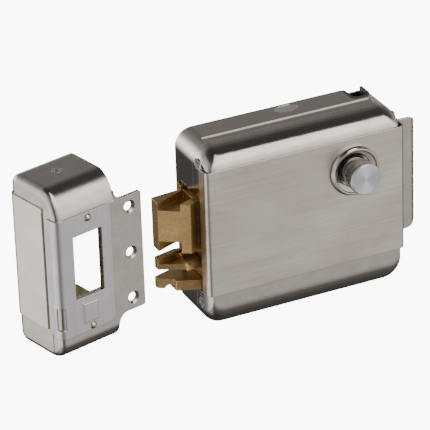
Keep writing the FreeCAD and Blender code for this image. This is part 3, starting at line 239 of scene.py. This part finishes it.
class Finish(Graph):
    """One surface material."""

    def __init__(self, name):
        self.material = bpy.data.materials.new(name)
        self.material.use_nodes = True
        super().__init__(self.material.node_tree)
        self.shader = self.tree.nodes["Principled BSDF"]

    def place(self, scale, centre=(0.0, 0.0, 0.0)):
        """Object coordinates round centre, stretched so that a texture runs along one axis."""
        coordinates = self.add("ShaderNodeTexCoord")
        shift = self.add("ShaderNodeVectorMath", operation="SUBTRACT")
        self.link(coordinates.outputs["Object"], shift.inputs[0])
        shift.inputs[1].default_value = centre
        mapping = self.add("ShaderNodeMapping", Scale=scale)
        self.link(shift.outputs[0], mapping.inputs["Vector"])
        return mapping.outputs["Vector"]

    def noise(self, scale, size, detail=3.0, roughness=0.5, distortion=0.0):
        node = self.add("ShaderNodeTexNoise", Scale=size, Detail=detail, Roughness=roughness,
                        Distortion=distortion)
        self.link(self.place(scale), node.inputs["Vector"])
        return node.outputs["Fac"]

    def streaks(self, grain):
        return self.noise(grain, 1.0, STREAK_DETAIL, STREAK_ROUGHNESS)

    def clouds(self, size):
        return self.noise(CLOUD_STRETCH, size, CLOUD_DETAIL, CLOUD_ROUGHNESS, CLOUD_DISTORTION)

    def tone(self, streaks, clouds, cloud_share):
        return self.math("ADD", self.math("MULTIPLY", streaks, 1.0 - cloud_share),
                         self.math("MULTIPLY", clouds, cloud_share))

    def ramp(self, factor, dark, light, start=0.3, end=0.7):
        node = self.add("ShaderNodeValToRGB")
        first, last = node.color_ramp.elements
        first.position, first.color = start, (*dark, 1.0)
        last.position, last.color = end, (*light, 1.0)
        self.link(factor, node.inputs["Fac"])
        return node.outputs["Color"]

    def rounded(self):
        """Normal that runs smoothly over sharp edges."""
        node = self.add("ShaderNodeBevel", Radius=EDGE_SOFTNESS, samples=EDGE_SAMPLES)
        return node.outputs["Normal"]

    def worn_edges(self, rounded):
        """1 where the rounded normal leaves the flat one, at edges rubbed bright; 0 elsewhere."""
        flat = self.add("ShaderNodeNewGeometry").outputs["Normal"]
        node = self.add("ShaderNodeVectorMath", operation="DOT_PRODUCT")
        self.link(rounded, node.inputs[0])
        self.link(flat, node.inputs[1])
        return self.remap(node.outputs["Value"], 1.0, 0.0, *EDGE_RUBBED)

    def bump(self, height, strength, distance, normal=None):
        node = self.add("ShaderNodeBump", Strength=strength, Distance=distance)
        self.link(height, node.inputs["Height"])
        if normal is not None:
            self.link(normal, node.inputs["Normal"])
        self.link(node.outputs["Normal"], self.shader.inputs["Normal"])

    def finish(self, color, roughness, metallic=1.0):
        self.link(color, self.shader.inputs["Base Color"])
        self.link(roughness, self.shader.inputs["Roughness"])
        self.shader.inputs["Metallic"].default_value = metallic
        return self.material


# ---------------------------------------------------------------- materials
def metal(name, dark, light, grain, rough, relief, edge=None, cloud_size=CLOUD_SIZE,
          cloud_share=CLOUD_SHARE, metallic=1.0):
    """Metal with machining streaks along one axis, cloudy tone and edges rubbed bright."""
    nodes = Finish(name)
    streaks = nodes.streaks(grain)
    clouds = nodes.clouds(cloud_size)
    tone = nodes.tone(streaks, clouds, cloud_share)
    color = nodes.ramp(tone, dark, light, *TONE_RANGE)
    roughness = nodes.remap(tone, rough[1], rough[0])
    rounded = nodes.rounded()
    if edge:
        wear = nodes.math("MULTIPLY", nodes.worn_edges(rounded), nodes.remap(clouds, WEAR_LEAST, 1.0))
        color = nodes.blend(wear, color, edge)
    nodes.bump(streaks, relief, STREAK_RELIEF, rounded)
    return nodes.finish(color, roughness, metallic)


def badged_case():
    """Polished case whose sunk blank oval is matt and paler."""
    nodes = Finish("badged_nickel")
    low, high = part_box("rear_case")
    centre = ((low.x + high.x) / 2 + BADGE_X, high.y + BADGE_Y, high.z)
    scratches = nodes.streaks(ALONG_X)
    tone = nodes.tone(scratches, nodes.clouds(CLOUD_SIZE), CASE_CLOUD_SHARE)
    reach = nodes.add("ShaderNodeVectorMath", operation="LENGTH")
    scale = (1 / BADGE_HALF_LEN, 1 / BADGE_HALF_W, 1 / BADGE_HALF_W)
    nodes.link(nodes.place(scale, centre), reach.inputs[0])
    inside = nodes.remap(reach.outputs["Value"], 1.0, 0.0, *BADGE_RIM)
    polished = nodes.ramp(tone, NICKEL_DARK, NICKEL_LIGHT, *TONE_RANGE)
    matt = nodes.ramp(scratches, BADGE_DARK, BADGE_LIGHT)
    rough = nodes.math("ADD", nodes.remap(tone, *CASE_ROUGH),
                       nodes.math("MULTIPLY", inside, BADGE_EXTRA_ROUGH))
    nodes.bump(scratches, CASE_RELIEF, STREAK_RELIEF, nodes.rounded())
    return nodes.finish(nodes.blend(inside, polished, matt), rough)


def plain(name, dark, light, size, rough):
    """Moulded plastic or rubber with a fine grain."""
    nodes = Finish(name)
    grain = nodes.noise(UNIFORM, size, GRAIN_DETAIL)
    nodes.bump(grain, GRAIN_STRENGTH, GRAIN_RELIEF)
    return nodes.finish(nodes.ramp(grain, dark, light), nodes.remap(grain, *rough), 0.0)


def turned_cap():
    """Lathe-turned end face: fine rings round the knob's axis and a fanned highlight."""
    nodes = Finish("turned_nickel")
    low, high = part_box("knob_cap")
    wave = nodes.add("ShaderNodeTexWave", wave_type="RINGS", rings_direction="Y", Scale=TURNED_RINGS,
                     Distortion=TURNED_WOBBLE, Detail=TURNED_WOBBLE_DETAIL)
    nodes.link(nodes.place(UNIFORM, tuple((low + high) / 2)), wave.inputs["Vector"])
    rings = wave.outputs["Fac"]
    tangent = nodes.add("ShaderNodeTangent", direction_type="RADIAL", axis="Y")
    nodes.link(tangent.outputs[0], nodes.shader.inputs["Tangent"])
    nodes.shader.inputs["Anisotropic"].default_value = TURNED_FAN
    nodes.shader.inputs["Anisotropic Rotation"].default_value = QUARTER_TURN
    nodes.bump(rings, TURNED_STRENGTH, TURNED_RELIEF, nodes.rounded())
    color = nodes.ramp(rings, TURNED_DARK, TURNED_LIGHT, 0.0, 1.0)
    return nodes.finish(color, nodes.remap(rings, *TURNED_ROUGH, 0.0, 1.0))


# Each metal: darkest and lightest colour, direction of its streaks, roughness from smoothest to
# roughest, relief and the colour of its rubbed edges.
MATERIALS = {
    "nickel": metal("polished_nickel", NICKEL_DARK, NICKEL_LIGHT, EVEN, (0.10, 0.17), 0.02, PALE_NICKEL),
    "brushed_nickel": metal("brushed_nickel", (0.50, 0.430, 0.360), (0.76, 0.675, 0.59), ALONG_X,
                            (0.24, 0.40), 0.22, PALE_NICKEL, PLATE_CLOUD_SIZE, PLATE_CLOUD_SHARE),
    "zinc_steel": metal("zinc_steel", (0.36, 0.35, 0.34), (0.54, 0.53, 0.52), EVEN, (0.28, 0.42), 0.1,
                        (0.7, 0.7, 0.7)),
    "satin_liner": metal("satin_liner", (0.55, 0.50, 0.515), (0.66, 0.61, 0.625), ALONG_Z, (0.28, 0.40),
                         0.10, (0.84, 0.81, 0.83)),
    "brass": metal("machined_brass", (0.29, 0.180, 0.070), (0.50, 0.335, 0.145), ALONG_X, (0.24, 0.40),
                   0.22, (0.95, 0.70, 0.38), metallic=0.97),
    "spring_steel": metal("spring_steel", (0.26, 0.26, 0.28), (0.42, 0.42, 0.44), EVEN, (0.25, 0.4), 0.1),
    "copper_wire": metal("copper_wire", (0.36, 0.13, 0.05), (0.60, 0.26, 0.12), WOUND, (0.25, 0.4), 0.6),
    "soft_iron": metal("soft_iron", (0.20, 0.20, 0.21), (0.36, 0.36, 0.37), EVEN, (0.35, 0.5), 0.2),
    "knob_nickel": metal("knurled_nickel", (0.16, 0.15, 0.142), (0.40, 0.38, 0.36), EVEN, (0.16, 0.28),
                         0.05, (0.75, 0.73, 0.71)),
    "moulded_nylon": plain("moulded_nylon", (0.58, 0.56, 0.50), (0.72, 0.70, 0.64), 900.0, (0.45, 0.6)),
    "black_rubber": plain("black_rubber", (0.016, 0.012, 0.011), (0.045, 0.037, 0.033), 700.0, (0.35, 0.5)),
}
NODE_MATERIALS = {
    "rear_case": badged_case(),
    "knob_cap": turned_cap(),
    # Strike's side plate: brushed nickel painted paler than the lock's front plate, a painted highlight for
    # the bright light that falls on it from the left.
    "strike_cover_plate": metal("painted_lit_side_plate", (0.74, 0.66, 0.56), (0.90, 0.82, 0.72), ALONG_Y,
                                (0.28, 0.42), 0.22, PALE_NICKEL, PLATE_CLOUD_SIZE, PLATE_CLOUD_SHARE),
    "strike_keeper": metal("yellow_zinc", (0.30, 0.27, 0.09), (0.50, 0.47, 0.22), EVEN, (0.3, 0.45), 0.1,
                           (0.7, 0.68, 0.4)),
}
SLOTS = {entry["node"]: entry["material_slot"] for entry in frame["record"]["subparts"]}


def dress_nodes():
    for name, node in frame["nodes"].items():
        node.data.materials.clear()
        node.data.materials.append(NODE_MATERIALS.get(name) or MATERIALS[SLOTS[name]])


def linked(name, data):
    """New object in the scene."""
    thing = bpy.data.objects.new(name, data)
    bpy.context.scene.collection.objects.link(thing)
    return thing


# ---------------------------------------------------------------- finger pull
def pull_line(low, high):
    """Middle line of the pull's section: forward along the case, out, and round at its free end."""
    near, far = low.x + PULL_T / 2, high.x - PULL_T / 2
    front = low.y + PULL_T / 2
    points = [Vector((near, high.y))]
    bends = ((near + PULL_NEAR_BEND, PULL_NEAR_BEND, 180), (far - PULL_FAR_BEND, PULL_FAR_BEND, 270))
    for middle_x, radius, start in bends:
        for step in range(PULL_BEND_STEPS + 1):
            angle = math.radians(start + 90 * step / PULL_BEND_STEPS)
            points.append(Vector((middle_x + radius * math.cos(angle),
                                  front + radius + radius * math.sin(angle))))
    return points


def corner_drop(radius, from_end):
    """How far a corner rounded by radius has drawn in at from_end along the strip from its end."""
    if from_end >= radius:
        return 0.0
    return radius - math.sqrt(radius ** 2 - (radius - from_end) ** 2)


def pull_rows(low, high):
    """The four corners of the strip's section at each point of its middle line."""
    line = pull_line(low, high)
    from_end = [0.0]
    for here, after in zip(reversed(line[:-1]), reversed(line[1:])):
        from_end.insert(0, from_end[0] + (here - after).length)
    rows = []
    for index, point in enumerate(line):
        along = line[min(index + 1, len(line) - 1)] - line[max(index - 1, 0)]
        aside = Vector((along.y, -along.x)).normalized() * PULL_T / 2
        bottom = low.z + corner_drop(PULL_LOW_ROUND, from_end[index])
        top = high.z - corner_drop(PULL_TOP_ROUND, from_end[index])
        corners = ((point + aside, bottom), (point - aside, bottom), (point - aside, top),
                   (point + aside, top))
        rows.append([(place.x, place.y, height) for place, height in corners])
    return rows


def pull_mesh():
    mesh = bmesh.new()
    rows = [[mesh.verts.new(corner) for corner in row] for row in pull_rows(*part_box("finger_pull"))]
    for first, second in zip(rows[:-1], rows[1:]):
        for side in range(4):
            after = (side + 1) % 4
            mesh.faces.new((first[side], first[after], second[after], second[side]))
    mesh.faces.new(rows[0])
    mesh.faces.new(rows[-1])
    bmesh.ops.recalc_face_normals(mesh, faces=mesh.faces)
    for face in mesh.faces:
        face.smooth = True
    data = bpy.data.meshes.new("curved_finger_pull")
    mesh.to_mesh(data)
    mesh.free()
    data.set_sharp_from_angle(angle=PULL_SHARP)
    data.materials.append(MATERIALS["nickel"])
    return data


def finger_pull():
    """Bent strip whose free corners are rounded along the bend."""
    piece = linked("curved_finger_pull", pull_mesh())
    bevel = piece.modifiers.new("edges", "BEVEL")
    bevel.width = PULL_EDGE
    bevel.segments = PULL_EDGE_STEPS
    bevel.limit_method = "ANGLE"
    bevel.angle_limit = PULL_EDGE_ANGLE
    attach(piece, "base")
    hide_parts("finger_pull")


def shortening_spring(node, body, joint, axis):
    """Copy of the coil, carried by the moving body in place of the hidden node."""
    piece = linked(node + "_coil", frame["nodes"][node].data.copy())
    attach(piece, body)
    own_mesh(piece)
    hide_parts(node)


# ---------------------------------------------------------------- stage, lights and camera
def floor():
    """Pale floor; the metals mirror the studio's walls and cards instead of it."""
    mesh = bmesh.new()
    signs = ((-1, -1), (1, -1), (1, 1), (-1, 1))
    mesh.faces.new([mesh.verts.new((x * FLOOR_HALF, y * FLOOR_HALF, 0)) for x, y in signs])
    data = bpy.data.meshes.new("studio_floor")
    mesh.to_mesh(data)
    mesh.free()
    ground = linked("studio_floor", data)
    ground.location = (0, 0, FLOOR_Z - FLOOR_GAP)
    ground.visible_glossy = False
    nodes = Finish("pale_floor")
    nodes.shader.inputs["Emission Color"].default_value = (*WHITE, 1.0)
    nodes.shader.inputs["Emission Strength"].default_value = FLOOR_GLOW
    nodes.shader.inputs["Specular IOR Level"].default_value = 0.0
    mottle = nodes.noise(UNIFORM, FLOOR_MOTTLE)
    color = nodes.ramp(mottle, FLOOR_DARK, FLOOR_LIGHT)
    data.materials.append(nodes.finish(color, nodes.remap(mottle, *FLOOR_ROUGH), 0.0))


def studio_ring(graph, heading, pairs):
    """Brightness all round at one height above the horizon."""
    node = graph.add("ShaderNodeValToRGB")
    ramp = node.color_ramp
    ramp.interpolation = "EASE"
    while len(ramp.elements) < len(pairs):
        ramp.elements.new(0.5)
    for element, (degrees, level) in zip(ramp.elements, pairs):
        element.position = (degrees + 180.0) / 360.0
        shade = level / STUDIO_BRIGHTEST
        element.color = (shade, shade, shade, 1.0)
    graph.link(heading, node.inputs["Fac"])
    return node.outputs["Color"]


def world():
    """Soft white room for everything but reflections, which see light and dark studio cards."""
    scene_world = bpy.data.worlds.new("studio")
    bpy.context.scene.world = scene_world
    scene_world.use_nodes = True
    graph = Graph(scene_world.node_tree)
    background = graph.tree.nodes["Background"]
    split = graph.add("ShaderNodeSeparateXYZ")
    graph.link(graph.add("ShaderNodeTexCoord").outputs["Generated"], split.inputs[0])
    heading = graph.math("ARCTAN2", split.outputs["Y"], split.outputs["X"])
    heading = graph.remap(heading, 0.0, 1.0, -math.pi, math.pi)
    height = graph.math("ARCSINE", split.outputs["Z"])
    low, pairs = STUDIO[0]
    cards = studio_ring(graph, heading, pairs)
    for high, pairs in STUDIO[1:]:
        share = graph.remap(height, 0.0, 1.0, math.radians(low), math.radians(high), "SMOOTHSTEP")
        cards = graph.blend(share, cards, studio_ring(graph, heading, pairs))
        low = high
    path = graph.add("ShaderNodeLightPath")
    reflected = path.outputs["Is Glossy Ray"]
    graph.link(graph.blend(reflected, WHITE, cards), background.inputs["Color"])
    room = graph.remap(path.outputs["Is Camera Ray"], ROOM_LIGHT, BACKDROP_LIGHT, 0.0, 1.0)
    extra = graph.math("MULTIPLY", reflected, STUDIO_BRIGHTEST - ROOM_LIGHT)
    graph.link(graph.math("ADD", room, extra), background.inputs["Strength"])


def softbox():
    """Large soft light above and in front, aimed at the middle of the lock's back."""
    light = bpy.data.lights.new("top_box", "AREA")
    light.shape = "RECTANGLE"
    light.size = SOFTBOX_SIZE
    light.size_y = SOFTBOX_SIZE
    light.energy = SOFTBOX_POWER
    lamp = linked("top_box", light)
    lamp.location = SOFTBOX_PLACE
    lamp.rotation_euler = (-SOFTBOX_PLACE).to_track_quat("-Z", "Y").to_euler()
    lamp.visible_glossy = False


def camera():
    data = bpy.data.cameras.new("camera")
    data.sensor_width = CAMERA_SENSOR
    data.lens = CAMERA_LENS
    thing = linked("camera", data)
    turn = Matrix((CAMERA_RIGHT, CAMERA_UP, -CAMERA_AHEAD)).transposed()
    thing.matrix_world = Matrix.Translation(CAMERA_PLACE) @ turn.to_4x4()
    bpy.context.scene.camera = thing


dress_nodes()
finger_pull()
for spring in SPRINGS:
    shortening_spring(*spring)
floor()
world()
camera()
softbox()
